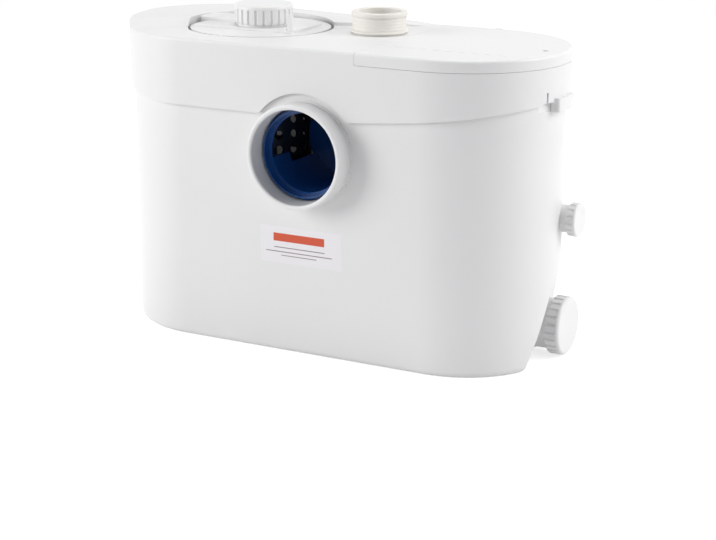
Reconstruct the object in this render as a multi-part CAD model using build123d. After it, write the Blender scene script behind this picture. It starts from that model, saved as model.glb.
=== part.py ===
from build123d import *
import math
import os

# Macerator toilet pump. X runs along the body to the right, Y to the back, Z up.
# The origin is the middle of the tank's base, on the floor.

# Tank
tank_length = 451.0
tank_depth_top = 195.0
tank_draft = 4.0
tank_rim = 282.0
tank_wall = 3.0
tank_floor = 4.0
base_round = 6.0
overrun = 2.0
loose_gap = 0.3
tank_end = tank_length / 2
tank_face = tank_depth_top / 2
tank_depth_base = tank_depth_top - 2 * tank_draft

# Toilet collar on the tank's front
collar_x = 9.1
collar_z = 199.7
collar_outer = 50.0
collar_bore = 45.0
collar_length = 21.0
collar_round = 2.0
collar_root = 51.5
collar_root_length = 0.5
collar_reach = tank_face + collar_length

# Niche under the right end
niche_top = 87.0
niche_shoulder = 67.0
niche_shoulder_half = 34.0
niche_base_half = 69.0
niche_base_depth = 34.0
niche_top_depth = 14.0

# Low side inlet. Both side inlets stand behind the middle of the end.
inlet_y = 25.0
low_z = 30.7
low_neck_outer = 24.5
low_neck_bore = 20.5
low_neck_length = 1.6
low_flare_radius = 29.5
low_flare_depth = 37.6
low_flare_length = 16.3
low_neck_end = tank_end + low_neck_length
low_flare_start = tank_end - low_flare_depth
low_flare_end = low_flare_start + low_flare_length

# Small side inlet
small_z = 136.8
small_neck_outer = 13.5
small_neck_bore = 10.0
small_neck_length = 10.5
small_root_depth = 15.0
small_neck_end = tank_end + small_neck_length

# Rubber pads let into the base
pad_radius = 12.0
pad_depth = 2.5
pad_end_gap = 75.5
pad_side_gap = 41.5
pad_x = tank_end - pad_end_gap
pad_y = tank_depth_base / 2 - pad_side_gap

# Lid
lid_overhang = 4.0
lid_top = 300.0
lid_wall = 3.0
lid_round = 3.0
seam_level = 235.3
seam_left_run = 99.5
seam_left_middle_run = 44.5
seam_left_middle_level = 239.0
seam_left_level = 247.5
seam_right_run = 167.5
seam_right_middle_run = 79.5
seam_right_middle_level = 244.0
seam_right_level = 256.0
lid_end = tank_end + lid_overhang
lid_face = tank_face + lid_overhang
lid_length = 2 * lid_end
lid_depth = 2 * lid_face
seam_left_start = -lid_end + seam_left_run
seam_left_middle = -lid_end + seam_left_middle_run
seam_right_start = lid_end - seam_right_run
seam_right_middle = lid_end - seam_right_middle_run
arch_radius = 58.0
rib_inset = 4.0
gasket_height = 3.0
gasket_width = 2.0

# Raised ledge along the back of the lid
ledge_height = 8.0
ledge_bend_height = 1.8
ledge_ramp = 17.0
ledge_foot_y = -83.0
ledge_meet_run = 65.0
ledge_meet_y = -34.2
ledge_slope_run = 61.1
ledge_slope_y = 39.3
ledge_bend_run = 123.4
ledge_tip_run = 145.4
ledge_tip_y = 82.0

# Recess for the round access plate
plate_end_gap = 136.1
plate_radius = 69.8
plate_round = 0.8
plate_gap = 2.5
plate_recess = 10.0
recess_wall = 3.0
recess_floor = 3.0
guard_hole = 53.0
plate_thickness = 3.0
plate_skirt = 3.0
plate_seal_height = 2.0
plate_seal_width = 2.6
plate_x = -lid_end + plate_end_gap
ledge_meet_x = plate_x - ledge_meet_run
ledge_slope_x = plate_x + ledge_slope_run
ledge_bend_x = plate_x + ledge_bend_run
ledge_tip_x = plate_x + ledge_tip_run

# Raised bed, grip block and stop tab on the access plate
bed_left_run = 58.6
bed_right_run = 52.4
bed_front = -30.0
bed_back = 30.0
bed_height = 2.5
bed_round = 1.0
grip_left_run = 67.6
grip_right_run = 27.6
grip_front = -4.0
grip_back = 22.0
grip_height = 7.0
grip_round = 1.5
tab_thickness = 5.0
tab_width = 3.0
tab_height = 18.0
bed_left = plate_x - bed_left_run
bed_right = plate_x + bed_right_run
grip_left = plate_x - grip_left_run
grip_right = plate_x - grip_right_run

# Top cap and its spigot
cap_offset = 3.4
cap_radius = 29.0
cap_height = 18.4
cap_seat = 2.5
cap_seat_radius = 26.0
cap_roof = 3.7
cap_round = 3.0
cap_flutes = 24
flute_width = 2.6
flute_depth = 1.5
flute_plain = 5.0
spigot_outer = 22.0
spigot_bore = 18.0
spigot_height = 13.0
cap_thread_gap = 0.6
cap_seal_thickness = 1.4
seal_inset = 0.5
cap_x = plate_x + cap_offset

# Low side cap
low_cap_cover = 8.5
low_cap_radius = 28.6
low_cap_length = 14.5
low_cap_roof = 3.6
low_cap_plain = 4.0
low_seal_thickness = 1.8
low_cap_start = low_neck_end - low_cap_cover

# Small side cap
small_cap_cover = 4.7
small_cap_radius = 16.3
small_cap_length = 9.3
small_cap_roof = 2.8
small_cap_flutes = 16
small_cap_plain = 2.6
small_cap_round = 1.6
small_seal_thickness = 1.0
small_cap_start = small_neck_end - small_cap_cover

# Right service cover
cover_length = 165.0
cover_height = 11.5
cover_wall = 2.7
cover_roof = 3.0
cover_gap = 0.3
vent_count = 9
vent_length = 8.0
vent_width = 0.9
vent_pitch = 13.0
vent_first_gap = 15.5
vent_y = -52.0
cover_screw_hole = 3.4
cover_screw_depth = 1.6
cover_screw_end_gap = 17.5
cover_screw_y = -6.0
cover_x = lid_end - cover_length
vent_first_x = cover_x + vent_first_gap

# Dry tray under the service cover
tray_floor_level = 262.0
tray_floor = 3.0
tray_wall = 2.5
tray_gap = 0.8
tray_rim_gap = 0.5
tray_wire_hole = 14.0
tray_inset = lid_overhang + tank_wall + tray_gap

# Lid clips, with the notch and the slit beside the right one
clip_overhang = 4.5
clip_half = 19.0
clip_below_seam = 9.0
clip_above_seam = 3.5
clip_root_gap = 0.5
clip_round = 2.5
slit_y = -29.9
slit_width = 2.4
slit_height = 9.5
notch_front = -35.0
notch_height = 9.0
notch_depth = 1.8
notch_round = 4.0
notch_top = seam_right_level + clip_root_gap

# Discharge sleeve, riser and non-return valve
outlet_y = 19.8
outlet_motor_gap = 89.5
sleeve_rim = 27.5
sleeve_waist = 26.3
sleeve_bore = 16.0
sleeve_height = 21.5
sleeve_rim_height = 5.0
sleeve_flange_height = 3.5
sleeve_grooves = 4
sleeve_groove_depth = 0.4
sleeve_rim_round = 1.6
valve_outer = 24.0
valve_bore = 19.0
valve_low = 255.0
valve_seat = 4.0
valve_seat_bore = 13.0
flap_thickness = 2.0
flap_radius = 16.0
flap_pin_radius = 1.5
flap_pin_gap = 0.08
pipe_outer = 14.0
pipe_bore = 11.5
pipe_level = 79.0

# Blue inlet scoop behind the collar
scoop_radius = 42.0
scoop_ring_bore = 40.5
scoop_bore = 38.0
scoop_wall = 3.0
scoop_set_back = 18.5
scoop_step_length = 9.5
scoop_length = 92.0
scoop_flange = 56.0
scoop_flange_thickness = 2.5
scoop_shoulder_drop = 8.7
scoop_sill_drop = 31.7
scoop_sill_run = 41.0
scoop_front = -collar_reach + scoop_set_back
scoop_step = scoop_front + scoop_step_length
scoop_back = scoop_front + scoop_length
scoop_foot_face = tank_depth_base / 2 + tank_draft * (collar_z - scoop_flange) / tank_rim
scoop_flange_y = -scoop_foot_face + tank_wall + loose_gap

# Perforated guard of the level switch
guard_radius = 50.0
guard_wall = 2.0
guard_low = 170.0
guard_flange = 57.0
guard_flange_thickness = 2.0
guard_hole_radius = 4.5
guard_rows = 7
guard_columns = 18
guard_row_pitch = 15.0
guard_first_row = 14.5

# Level switch
dip_outer = 15.0
dip_bore = 12.0
dip_low = 52.0
head_level = 252.0
head_height = 12.0
diaphragm_radius = 24.0
diaphragm_thickness = 1.0
plunger_radius = 3.0
plunger_length = 9.0
plunger_travel = 2.0
bridge_thickness = 2.0
bridge_width = 16.0
bridge_gap = 0.05
bridge_leg = 6.0
switch_length = 20.0
switch_width = 8.0
switch_height = 9.0

# Motor
motor_end_gap = 107.5
can_radius = 52.0
can_wall = 2.0
can_low = 112.0
can_flange = 60.0
can_flange_thickness = 3.0
stator_low = 142.0
stator_high = 216.0
stator_bore = 27.0
rotor_radius = 26.6
rotor_end_gap = 2.0
shaft_radius = 6.0
shaft_low = 34.0
shaft_high = 246.0
bearing_radius = 16.0
bearing_height = 9.0
bearing_gap = 0.05
bearing_hub = 19.0
lower_bearing_level = 116.0
upper_bearing_level = 230.0
bell_thickness = 3.0
seal_radius = 13.0
seal_height = 8.0
motor_x = tank_end - motor_end_gap
outlet_x = motor_x - outlet_motor_gap

# Pump volute, impeller and cutter
volute_radius = 45.0
volute_bore = 38.0
volute_low = 62.0
volute_high = 104.0
volute_floor = 5.0
volute_chamber = 26.0
eye_radius = 17.0
impeller_radius = 35.0
impeller_disc = 3.0
impeller_hub = 10.0
impeller_vane_height = 12.0
impeller_vane_thickness = 2.5
impeller_vanes = 6
impeller_level = 71.0
cutter_level = 40.0
cutter_thickness = 5.0
cutter_reach = 34.0
cutter_width = 12.0
cutter_edge = 3.0
cutter_arms = 4
ring_outer = 42.0
ring_bore = 38.0
ring_slots = 16
ring_slot_width = 6.0
ring_slot_height = 30.0
ring_slot_low = 14.0

# Dry parts in the tray
capacitor_radius = 13.0
capacitor_length = 58.0
capacitor_end_gap = 35.5
capacitor_x = tank_end - capacitor_end_gap
capacitor_round = 1.5
strap_width = 8.0
strap_thickness = 1.5
strap_foot = 6.5
block_length = 40.0
block_width = 18.0
block_height = 15.0
block_y = 52.0
block_slot = 5.0
block_slot_depth = 6.0
block_ways = 4

# Cable gland on the back
gland_rise = 5.0
gland_radius = 4.6
gland_bore = 3.4
gland_reach = 9.0
gland_nut = 6.6
gland_nut_thickness = 4.0
gland_nut_sides = 6

tray_inner = tray_inset + tray_wall
plate_level = lid_top - plate_thickness
recess_level = lid_top - plate_recess
gasket_level = tank_rim + gasket_height
bed_top = lid_top + bed_height
cap_seat_top = bed_top + cap_seat
ledge_top = lid_top + ledge_height
cover_level = lid_top - cover_height


def capsule(length, depth, inset, level):
    """The body's plan at one level: straight sides and round ends, drawn in by an inset."""
    return Pos(0, 0, level) * SlotOverall(length - 2 * inset, depth - 2 * inset)


def lid_prism(inset, low, high):
    """The lid's plan, drawn in by an inset, from one level up to another."""
    return extrude(capsule(lid_length, lid_depth, inset, low), amount=high - low)


def span(left, right, front, back, low, high):
    """A box between two places on each axis."""
    box = Box(right - left, back - front, high - low)
    return Pos((left + right) / 2, (front + back) / 2, (low + high) / 2) * box


def rod(radius, low, high, x=0, y=0):
    """An upright cylinder between two levels."""
    return Pos(x, y, (low + high) / 2) * Cylinder(radius, high - low)


def ring(outer, inner, low, high, x=0, y=0):
    """An upright tube between two levels."""
    return rod(outer, low, high, x, y) - rod(inner, low - overrun, high + overrun, x, y)


def rod_x(radius, left, right, z, y=0):
    """A cylinder along X."""
    return Pos((left + right) / 2, y, z) * Rot(0, 90, 0) * Cylinder(radius, right - left)


def rod_y(radius, front, back, x, z):
    """A cylinder along Y."""
    return Pos(x, (front + back) / 2, z) * Rot(90, 0, 0) * Cylinder(radius, back - front)


def around(shape, count, x=0, level=0):
    """Copies of a shape, evenly spaced about an upright axis."""
    return [Pos(x, 0, level) * spot * shape for spot in PolarLocations(0, count)]


def niche(grow):
    """The niche at the right end: wide at the floor, arched at the top, with a back that leans out."""
    back = Plane.XZ * Polyline(
        (tank_end - niche_base_depth - grow, -overrun),
        (tank_end - niche_top_depth - grow, niche_top + grow),
        (tank_end + niche_base_depth, niche_top + grow),
        (tank_end + niche_base_depth, -overrun),
        close=True,
    )
    foot_left = Line((-niche_base_half - grow, -overrun), (-niche_shoulder_half - grow, niche_shoulder))
    arch = ThreePointArc(
        foot_left @ 1,
        (0, niche_top + grow),
        (niche_shoulder_half + grow, niche_shoulder),
    )
    foot_right = Line(arch @ 1, (niche_base_half + grow, -overrun))
    outline = foot_left + arch + foot_right + Line(foot_right @ 1, foot_left @ 0)
    across = extrude(make_face(back), amount=tank_depth_top, both=True)
    along = extrude(Plane.YZ * make_face(outline), amount=tank_length, both=True)
    return across & (Pos(0, inlet_y, 0) * along)


def tank():
    """The tub, with the toilet collar on its front and the two side necks on its right end."""
    outer = loft([
        capsule(tank_length, tank_depth_base, 0, 0),
        capsule(tank_length, tank_depth_top, 0, tank_rim),
    ])
    outer = fillet(outer.edges().group_by(Axis.Z)[0], base_round)
    inner = loft([
        capsule(tank_length, tank_depth_base, tank_wall, tank_floor),
        capsule(tank_length, tank_depth_top, tank_wall, tank_rim + overrun),
    ])
    tub = (outer - niche(0)) - (inner - niche(tank_wall))
    inside = -tank_depth_base / 2 + tank_wall
    collar = rod_y(collar_outer, -collar_reach, inside, collar_x, collar_z)
    collar -= rod_y(collar_bore, -collar_reach - overrun, inside + overrun, collar_x, collar_z)
    collar = fillet(collar.edges().group_by(Axis.Y)[0], collar_round)
    root = rod_y(collar_root, -tank_face - collar_root_length, inside, collar_x, collar_z)
    tub += (collar + root) - inner
    low_root = tank_end - niche_base_depth
    neck = rod_x(low_neck_outer, low_root, low_neck_end, low_z, inlet_y)
    flare = Pos((low_flare_start + low_flare_end) / 2, inlet_y, low_z) * Rot(0, 90, 0) * Cone(
        low_flare_radius, low_neck_outer, low_flare_end - low_flare_start)
    tub += (neck + flare) - (inner - niche(tank_wall))
    tub += rod_x(small_neck_outer, tank_end - small_root_depth, small_neck_end, small_z, inlet_y) - inner
    tub -= rod_y(collar_bore, -collar_reach + collar_round, 0, collar_x, collar_z)
    tub -= rod_x(low_neck_bore, low_root - niche_base_depth, low_neck_end + overrun, low_z, inlet_y)
    tub -= rod_x(small_neck_bore, tank_end - 2 * small_root_depth, small_neck_end + overrun, small_z,
                 inlet_y)
    for x in (-pad_x, pad_x):
        for y in (-pad_y, pad_y):
            tub -= rod(pad_radius, -overrun, pad_depth, x, y)
    return tub - notch()


def notch():
    """The notch in front of the right clip: it cuts the skirt's edge and sinks into the tank's end."""
    axis = tank_end - tank_face
    low = notch_top - notch_height
    window = span(axis, lid_end + clip_overhang, notch_front, -clip_half, low, notch_top)
    corner = window.edges().filter_by(Axis.X).group_by(Axis.Z)[-1].sort_by(Axis.Y)[-1]
    window = fillet(corner, notch_round)
    wide = tank_face - tank_draft * (tank_rim - low) / tank_rim
    floor = Pos(axis, 0, (low + notch_top) / 2) * Cone(wide, wide - notch_depth, notch_height)
    return window - floor


def pads():
    """Four rubber pads, flush with the base."""
    group = []
    for x in (-pad_x, pad_x):
        for y in (-pad_y, pad_y):
            group.append(rod(pad_radius, 0, pad_depth, x, y))
    return Compound(children=group)


def gasket():
    """The seal that lies on the tank's rim."""
    inset = (tank_wall - gasket_width) / 2
    outline = capsule(tank_length, tank_depth_top, inset, tank_rim)
    hole = capsule(tank_length, tank_depth_top, inset + gasket_width, tank_rim)
    return extrude(outline - hole, amount=gasket_height)


def below_seam():
    """All that lies under the skirt's lower edge, which rises towards both ends."""
    beyond = lid_end + overrun
    left = ThreePointArc(
        (-beyond, seam_left_level),
        (seam_left_middle, seam_left_middle_level),
        (seam_left_start, seam_level),
    )
    right = ThreePointArc(
        (seam_right_start, seam_level),
        (seam_right_middle, seam_right_middle_level),
        (beyond, seam_right_level),
    )
    rest = Polyline(right @ 1, (beyond, 0), (-beyond, 0), left @ 0)
    edge = left + Line(left @ 1, right @ 0) + right + rest
    return extrude(Plane.XZ * make_face(edge), amount=lid_depth, both=True)


def ledge():
    """The raised ledge: highest at the left end, round the plate's recess, and falling to the right."""
    far = lid_end + overrun
    plan = make_face(Polyline(
        (-far, ledge_foot_y),
        (ledge_meet_x, ledge_meet_y),
        (ledge_slope_x, ledge_slope_y),
        (ledge_tip_x, ledge_tip_y),
        (ledge_tip_x, far),
        (-far, far),
        close=True,
    ))
    block = extrude(Pos(0, 0, plate_level) * plan, amount=plate_thickness + ledge_height)
    side = make_face(Polyline(
        (-far, plate_level),
        (-far, ledge_top),
        (ledge_bend_x, lid_top + ledge_bend_height),
        (ledge_tip_x, lid_top),
        (ledge_tip_x, plate_level),
        close=True,
    ))
    block &= extrude(Plane.XZ * side, amount=lid_depth, both=True)
    foot = Vector(ledge_meet_x + far, ledge_meet_y - ledge_foot_y, 0)
    across = Plane(origin=(-far, ledge_foot_y, 0), x_dir=(-foot.Y, foot.X, 0), z_dir=foot)
    above = across * make_face(Polyline(
        (-ledge_ramp, lid_top),
        (0, lid_top),
        (ledge_ramp, ledge_top),
        (ledge_ramp, ledge_top + overrun),
        (-ledge_ramp, ledge_top + overrun),
        close=True,
    ))
    block -= extrude(above, amount=foot.length + ledge_ramp, dir=foot)
    block &= lid_prism(0, plate_level, ledge_top)
    rim = block.edges().filter_by(on_outline)
    return fillet(rim, lid_round)


def on_outline(edge):
    """Whether an edge runs along the top of the ledge's outer wall."""
    middle = edge.position_at(1 / 2)
    beyond = max(abs(middle.X) - (lid_end - lid_face), 0)
    return math.hypot(beyond, middle.Y) > lid_face - loose_gap and middle.Z > lid_top


def lid_moulding():
    """The whole moulding: skirt, arch over the collar, top with the plate's recess, ledge and dry tray."""
    shell = lid_prism(0, seam_level, lid_top)
    shell = fillet(shell.edges().group_by(Axis.Z)[-1], lid_round)
    shell -= lid_prism(lid_wall, seam_level - overrun, plate_level)
    rib = lid_prism(rib_inset, gasket_level, plate_level)
    rib -= lid_prism(rib_inset + tank_wall, gasket_level - overrun, plate_level + overrun)
    shell += rib
    rim = plate_radius + plate_gap
    shell += rod(rim + recess_wall, recess_level - recess_floor, plate_level, plate_x)
    shell -= rod(rim, recess_level, lid_top + overrun, plate_x)
    brim = shell.edges().group_by(Axis.Z)[-1].sort_by(SortBy.LENGTH)[-1]
    shell = fillet(brim, plate_round)
    shell -= rod(guard_hole, recess_level - recess_floor - overrun, lid_top, plate_x)
    shell += ledge() - rod(rim, plate_level - overrun, ledge_top + overrun, plate_x)
    right = span(cover_x - cover_gap, lid_end + overrun, -lid_depth, lid_depth,
                 cover_level - cover_gap, ledge_top + overrun)
    shell -= right
    shell += tray()
    shell -= rod(sleeve_bore + loose_gap, plate_level - overrun, lid_top + overrun, outlet_x, outlet_y)
    shell -= below_seam()
    shell -= rod_y(arch_radius, -lid_depth, 0, collar_x, collar_z)
    shell -= slit()
    shell -= notch()
    shell -= rod_y(gland_radius, lid_face - tray_inner - overrun, lid_depth, motor_x, gland_level())
    return shell


def recess_region(low, high):
    """The space of the plate's recess with its wall, between two levels."""
    return rod(plate_radius + plate_gap + recess_wall, low, high, plate_x)


def lid(whole):
    """The moulding without its recess and its dry tray."""
    return whole - recess_region(recess_level - recess_floor, ledge_top) - tray()


def recess_ring(whole):
    """The wall of the plate's recess, with the part of the ledge that stands on it."""
    return whole & recess_region(recess_level, ledge_top)


def recess_base(whole):
    """The floor of the plate's recess, with the round hole for the switch guard."""
    return whole & recess_region(recess_level - recess_floor, recess_level)


def dry_tray(whole):
    """The dry tray and the deck round it."""
    return whole & tray()


def tray():
    """The deck over the tank's rim and the dry tray that hangs inside it."""
    partition = cover_x - cover_gap - tray_wall
    keep = span(partition, lid_end, -lid_depth, lid_depth, tray_floor_level, lid_top)
    deck = lid_prism(lid_wall, gasket_level, cover_level - cover_gap)
    deck -= lid_prism(tray_inset, gasket_level - overrun, lid_top)
    walls = lid_prism(tray_inset, tray_floor_level, plate_level - tray_rim_gap)
    well = lid_prism(tray_inner, tray_floor_level + tray_floor, lid_top)
    well &= span(partition + tray_wall, lid_end, -lid_depth, lid_depth, tray_floor_level, lid_top)
    body = ((deck + walls) & keep) - well
    body -= span(partition + tray_wall, cover_x + cover_wall + cover_gap, -lid_depth, lid_depth,
                 cover_level - cover_gap, lid_top)
    body += span(partition, partition + tray_wall, -lid_face + tray_inset, lid_face - tray_inset,
                 tray_floor_level, plate_level) & lid_prism(lid_wall, tray_floor_level, lid_top)
    wires = rod(tray_wire_hole, tray_floor_level - overrun, tray_floor_level + tray_floor + overrun, motor_x)
    return body - wires


def slit():
    """The narrow slit that frees the clip in the lid's right end."""
    reach = math.sqrt(lid_face**2 - slit_y**2)
    surface = lid_end - lid_face + reach
    return span(surface - 2 * lid_wall, surface + overrun, slit_y - slit_width / 2,
                slit_y + slit_width / 2, seam_level, notch_top + slit_height)


def lid_clip(side, seam):
    """A clip that follows the curve of the lid's end, below and in front of its skirt."""
    axis = tank_end - tank_face
    low = seam - clip_below_seam
    high = seam + clip_above_seam
    band = ring(lid_face + clip_overhang, tank_face + clip_root_gap, low, high, axis)
    band &= span(axis, lid_end + clip_overhang, -clip_half, clip_half, low, high)
    band = fillet(band.edges().filter_by(Axis.Z).group_by(Axis.X)[-1], clip_round)
    if side < 0:
        band = mirror(band, about=Plane.YZ)
    return band - (lid_prism(0, seam_level, lid_top) - below_seam())


def plate_moulding():
    """The round plate with its raised bed, grip block, the cap's spigot and the stop tab."""
    skirt_low = recess_level + plate_seal_height + loose_gap
    plate = rod(plate_radius, skirt_low, lid_top, plate_x)
    plate -= rod(plate_radius - plate_skirt, skirt_low - overrun, plate_level, plate_x)
    bed = span(bed_left, bed_right, bed_front, bed_back, plate_level, bed_top)
    bed = fillet(bed.edges().filter_by(Axis.X).group_by(Axis.Z)[-1], bed_round)
    plate += bed & rod(plate_radius, plate_level, bed_top, plate_x)
    grip = span(grip_left, grip_right, grip_front, grip_back, plate_level, lid_top + grip_height)
    grip = fillet(grip.edges().group_by(Axis.Z)[-1], grip_round)
    plate += grip & rod(plate_radius, plate_level, lid_top + grip_height, plate_x)
    plate += rod(cap_seat_radius, plate_level, cap_seat_top, cap_x)
    plate += rod(spigot_outer, plate_level, cap_seat_top + spigot_height, cap_x)
    plate += span(bed_right - tab_thickness, bed_right, bed_front, bed_front + tab_width,
                  plate_level, lid_top + tab_height)
    return plate - rod(spigot_bore, plate_level - overrun, cap_seat_top + spigot_height + overrun, cap_x)


def spigot_region():
    """The space of the cap's seat and spigot."""
    return rod(cap_seat_radius, plate_level, cap_seat_top + spigot_height, cap_x)


def access_plate(whole):
    """The plate without its spigot."""
    return whole - spigot_region()


def plate_spigot(whole):
    """The cap's seat and the spigot that stands on it."""
    return whole & spigot_region()


def plate_seal():
    """The soft ring on which the access plate lies."""
    return ring(plate_radius, plate_radius - plate_seal_width, recess_level,
                recess_level + plate_seal_height, plate_x)


def ribbed_cap(radius, height, bore, roof, flutes, plain, edge):
    """A screw cap with upright flutes, open below, standing on its rim."""
    cap = rod(radius, 0, height)
    cap = fillet(cap.edges().group_by(Axis.Z)[-1], edge)
    cap -= rod(bore, -overrun, height - roof)
    flute = span(radius - flute_depth, radius + overrun, -flute_width / 2, flute_width / 2,
                 -overrun, height - plain)
    return cap - around(flute, flutes)


def top_cap():
    """The ribbed cap on the access plate."""
    cap = ribbed_cap(cap_radius, cap_height, spigot_outer + cap_thread_gap, cap_roof,
                     cap_flutes, flute_plain, cap_round)
    return Pos(cap_x, 0, cap_seat_top + loose_gap) * cap


def top_cap_seal():
    """The seal under the top cap's roof."""
    low = cap_seat_top + spigot_height + loose_gap
    return rod(spigot_outer - seal_inset, low, low + cap_seal_thickness, cap_x)


def low_cap():
    """The large ribbed cap on the low side inlet."""
    cap = ribbed_cap(low_cap_radius, low_cap_length, low_neck_outer + cap_thread_gap, low_cap_roof,
                     cap_flutes, low_cap_plain, cap_round)
    return Pos(low_cap_start, inlet_y, low_z) * Rot(0, 90, 0) * cap


def low_cap_seal():
    """The seal under the low cap's roof."""
    left = low_neck_end + loose_gap
    return rod_x(low_neck_outer - seal_inset, left, left + low_seal_thickness, low_z, inlet_y)


def small_cap():
    """The small ribbed cap on the middle side inlet."""
    cap = ribbed_cap(small_cap_radius, small_cap_length, small_neck_outer + cap_thread_gap,
                     small_cap_roof, small_cap_flutes, small_cap_plain, small_cap_round)
    return Pos(small_cap_start, inlet_y, small_z) * Rot(0, 90, 0) * cap


def small_cap_seal():
    """The seal under the small cap's roof."""
    left = small_neck_end + loose_gap
    return rod_x(small_neck_outer - seal_inset, left, left + small_seal_thickness, small_z, inlet_y)


def service_cover():
    """The flush cover over the dry tray, with a row of small vents."""
    cover = lid_prism(0, cover_level, lid_top)
    cover = fillet(cover.edges().group_by(Axis.Z)[-1], lid_round)
    beyond = lid_end + overrun
    cover &= span(cover_x, beyond, -lid_depth, lid_depth, cover_level, lid_top)
    hollow = lid_prism(cover_wall, cover_level - overrun, lid_top - cover_roof)
    hollow &= span(cover_x + cover_wall, beyond, -lid_depth, lid_depth, cover_level - overrun, lid_top)
    cover -= hollow
    notch = gland_radius + loose_gap
    cover -= span(motor_x - notch, motor_x + notch, lid_face - tray_inner, lid_depth,
                  cover_level - overrun, gland_level())
    cover -= rod_y(notch, lid_face - tray_inner, lid_depth, motor_x, gland_level())
    for index in range(vent_count):
        x = vent_first_x + index * vent_pitch
        cover -= span(x, x + vent_length, vent_y - vent_width / 2, vent_y + vent_width / 2,
                      lid_top - cover_roof - overrun, lid_top + overrun)
    return cover - rod(cover_screw_hole, lid_top - cover_screw_depth, lid_top + overrun,
                       lid_end - cover_screw_end_gap, cover_screw_y)


def discharge_sleeve():
    """The soft sleeve on the lid for the discharge pipe: flange, grooved waist and rim."""
    base = rod(sleeve_rim, lid_top, lid_top + sleeve_flange_height, outlet_x, outlet_y)
    waist = rod(sleeve_waist, lid_top, lid_top + sleeve_height, outlet_x, outlet_y)
    rim_low = sleeve_height - sleeve_rim_height
    rim = rod(sleeve_rim, lid_top + rim_low, lid_top + sleeve_height, outlet_x, outlet_y)
    rim = fillet(rim.edges().group_by(Axis.Z)[-1], sleeve_rim_round)
    sleeve = base + waist + rim
    pitch = (rim_low - sleeve_flange_height) / (sleeve_grooves + 1)
    for index in range(sleeve_grooves):
        level = lid_top + sleeve_flange_height + (index + 1) * pitch
        sleeve -= ring(sleeve_rim + overrun, sleeve_waist - sleeve_groove_depth,
                       level - pitch / 4, level + pitch / 4, outlet_x, outlet_y)
    return sleeve - rod(sleeve_bore, lid_top - overrun, lid_top + sleeve_height + overrun,
                        outlet_x, outlet_y)


def valve_body():
    """The non-return valve under the outlet, with a seat and two ears for the flap's pin."""
    body = ring(valve_outer, valve_bore, valve_low, plate_level, outlet_x, outlet_y)
    body += ring(valve_outer, valve_seat_bore, valve_low, valve_low + valve_seat, outlet_x, outlet_y)
    return body - rod_y(flap_pin_radius + flap_pin_gap, outlet_y - valve_outer, outlet_y + valve_outer,
                        outlet_x + flap_radius, flap_pin_level())


def flap_pin_level():
    """The level of the flap's pin, above the valve's seat."""
    return valve_low + valve_seat + loose_gap + flap_thickness / 2


def valve_flap():
    """The flap that closes the seat, on its pin."""
    low = valve_low + valve_seat + loose_gap
    flap = rod(flap_radius, low, low + flap_thickness, outlet_x, outlet_y)
    flap &= span(outlet_x - flap_radius, outlet_x + flap_radius - flap_pin_radius, -lid_depth,
                 lid_depth, low, low + flap_thickness)
    half = valve_outer - valve_wall_margin()
    pin = rod_y(flap_pin_radius, outlet_y - half, outlet_y + half, outlet_x + flap_radius,
                flap_pin_level())
    tongue = span(outlet_x, outlet_x + flap_radius, outlet_y - flap_radius / 3,
                  outlet_y + flap_radius / 3, low, low + flap_thickness)
    return flap + pin + tongue


def valve_wall_margin():
    """How far the pin's ends stay inside the valve's outer wall."""
    chord = math.sqrt(valve_outer**2 - flap_radius**2)
    return valve_outer - chord + flap_pin_radius


def discharge_pipe():
    """The riser from the volute to the valve: level run, round elbow and upright run."""
    start = motor_x - volute_radius
    bend = 2 * pipe_outer
    level_run = Line((start, outlet_y, pipe_level), (outlet_x + bend, outlet_y, pipe_level))
    corner = TangentArc(level_run @ 1, (outlet_x, outlet_y, pipe_level + bend),
                        tangent=(-1, 0, 0))
    upright = Line(corner @ 1, (outlet_x, outlet_y, valve_low))
    path = level_run + corner + upright
    section = Plane(origin=(start, outlet_y, pipe_level), z_dir=(-1, 0, 0))
    outside = sweep(section * Circle(pipe_outer), path=path)
    inside = sweep(section * Circle(pipe_bore), path=path)
    return outside - inside


def inlet_scoop():
    """The blue throat behind the collar: a ring, a flange and a blind tube, open on its upper left."""
    throat = rod_y(scoop_radius, scoop_front, scoop_back, collar_x, collar_z)
    flange_back = scoop_flange_y + scoop_flange_thickness
    throat += rod_y(scoop_flange, scoop_flange_y, flange_back, collar_x, collar_z)
    throat -= rod_y(scoop_ring_bore, scoop_front - overrun, scoop_step, collar_x, collar_z)
    throat -= rod_y(scoop_bore, scoop_front, scoop_back - scoop_wall, collar_x, collar_z)
    left = collar_x - scoop_flange
    top = collar_z + scoop_flange
    throat -= span(left, collar_x, flange_back, scoop_back + overrun, collar_z - scoop_shoulder_drop, top)
    return throat - span(left, collar_x, scoop_front + scoop_sill_run, scoop_back + overrun,
                         collar_z - scoop_sill_drop, top)


def switch_guard():
    """The perforated cylinder that hangs under the access plate."""
    top = recess_level + guard_flange_thickness
    guard = rod(guard_radius, guard_low, top, plate_x)
    guard += rod(guard_flange, recess_level, top, plate_x)
    guard -= rod(guard_radius - guard_wall, guard_low - overrun, top + overrun, plate_x)
    for row in range(guard_rows):
        level = guard_low + guard_first_row + row * guard_row_pitch
        hole = Pos(guard_radius - guard_wall / 2, 0, 0) * Rot(0, 90, 0) * Cylinder(
            guard_hole_radius, 3 * guard_wall)
        guard -= around(hole, guard_columns, plate_x, level)
    return guard


def level_head():
    """The air chamber of the level switch, held by the guard's wall, with the dip tube below."""
    head = rod(guard_radius - guard_wall, head_level, head_level + head_height, plate_x)
    return head - rod(dip_bore, head_level - overrun, head_level + head_height + overrun, plate_x)


def dip_tube():
    """The tube in which the rising water shuts in air."""
    return ring(dip_outer, dip_bore, dip_low, head_level, plate_x)


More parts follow.
